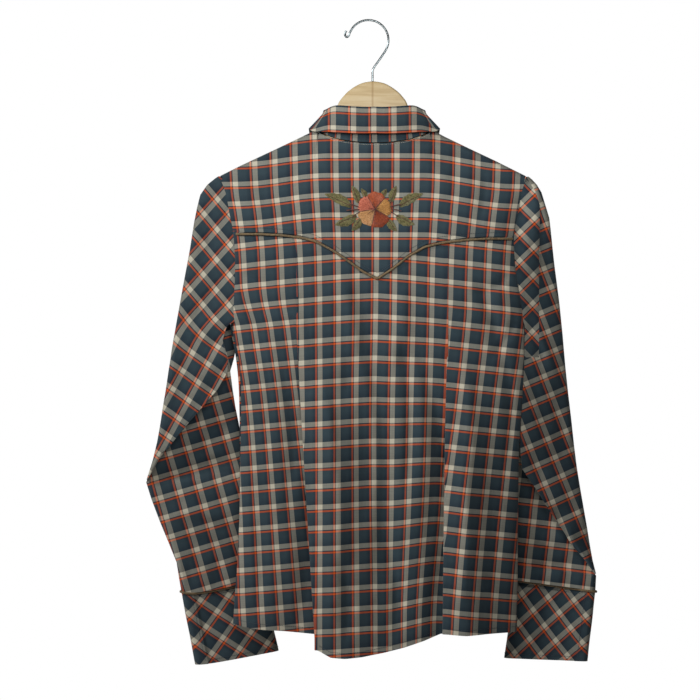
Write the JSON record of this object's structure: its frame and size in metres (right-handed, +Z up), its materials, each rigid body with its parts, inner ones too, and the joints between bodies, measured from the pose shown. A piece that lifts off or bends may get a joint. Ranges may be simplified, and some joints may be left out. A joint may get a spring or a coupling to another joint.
{
  "type": "western snap shirt on a wooden hanger",
  "caption": "Long-sleeved fitted western shirt of checked cloth with a pointed piped back yoke and bias cuffs, hanging flat on a wooden hanger with a wire hook.",
  "frame": {"origin": "underside of the top of the hanger's hook, where it bears on a rail or nail", "axes": "+Z up, +X to the right as seen from the shirt's back, +Y towards the shirt's front"},
  "size_m": [0.5898, 0.0737, 0.8423],
  "materials": {
    "plaid_cloth": "matt woven check of slate blue, cream and rust orange",
    "piping_cloth": "matt olive brown cord piping",
    "pearl": "pearl white snap cap with a metal rim",
    "maple": "clear satin varnish on light maple",
    "steel_wire": "polished steel wire"
  },
  "bodies": {
    "root": {"back": "plaid_cloth", "yoke": "plaid_cloth", "front_left": "plaid_cloth", "front_right": "plaid_cloth", "placket": "plaid_cloth", "sleeve_left": "plaid_cloth", "sleeve_right": "plaid_cloth", "cuff_left": "plaid_cloth", "cuff_right": "plaid_cloth", "collar_stand": "plaid_cloth", "collar_leaf": "plaid_cloth", "yoke_piping": "piping_cloth", "cuff_piping_left": "piping_cloth", "cuff_piping_right": "piping_cloth", "snap_1": "pearl", "snap_2": "pearl", "snap_3": "pearl", "snap_4": "pearl", "snap_5": "pearl", "snap_6": "pearl", "snap_7": "pearl", "snap_stand": "pearl", "cuff_snap_left_1": "pearl", "cuff_snap_left_2": "pearl", "cuff_snap_right_1": "pearl", "cuff_snap_right_2": "pearl", "hanger_wood": "maple", "hanger_hook": "steel_wire"}
  },
  "joints": []
}
